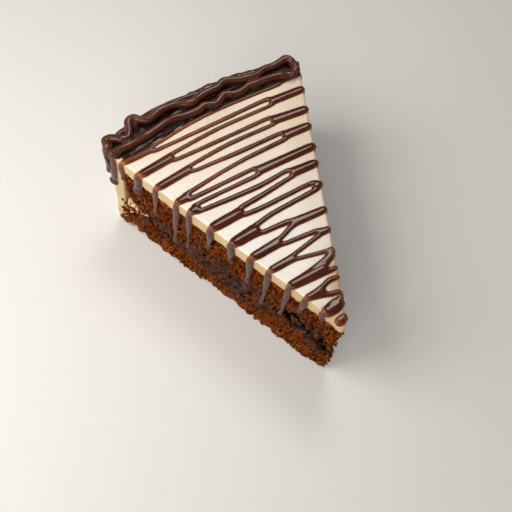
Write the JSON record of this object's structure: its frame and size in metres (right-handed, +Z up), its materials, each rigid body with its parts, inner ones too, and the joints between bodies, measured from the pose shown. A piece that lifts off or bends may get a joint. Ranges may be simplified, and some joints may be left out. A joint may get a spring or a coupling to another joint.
{
  "type": "chocolate cake slice",
  "caption": "Wedge of chocolate sponge layers with a dark fudge filling, cream top and wall, and piped chocolate ropes along the rim.",
  "frame": {"origin": "middle of the base, on the plane that the slice stands on", "axes": "+Z up; +Y from the slice's tip to its rim; +X to the right of someone who looks from the tip to the rim"},
  "size_m": [0.0826, 0.1068, 0.0513],
  "materials": {
    "sponge": "open, crumbly chocolate sponge, matt and a little moist",
    "fudge": "soft dark fudge, glossy where it is smeared",
    "cream": "smooth set vanilla cream, satin",
    "chocolate": "runny dark chocolate sauce, glossy"
  },
  "bodies": {
    "root": {"sponge_lower": "sponge", "filling": "fudge", "cream_seam": "cream", "sponge_upper": "sponge", "cream": "cream", "border_band": "chocolate", "border_rope_outer": "chocolate", "border_rope_inner": "chocolate"}
  },
  "joints": []
}
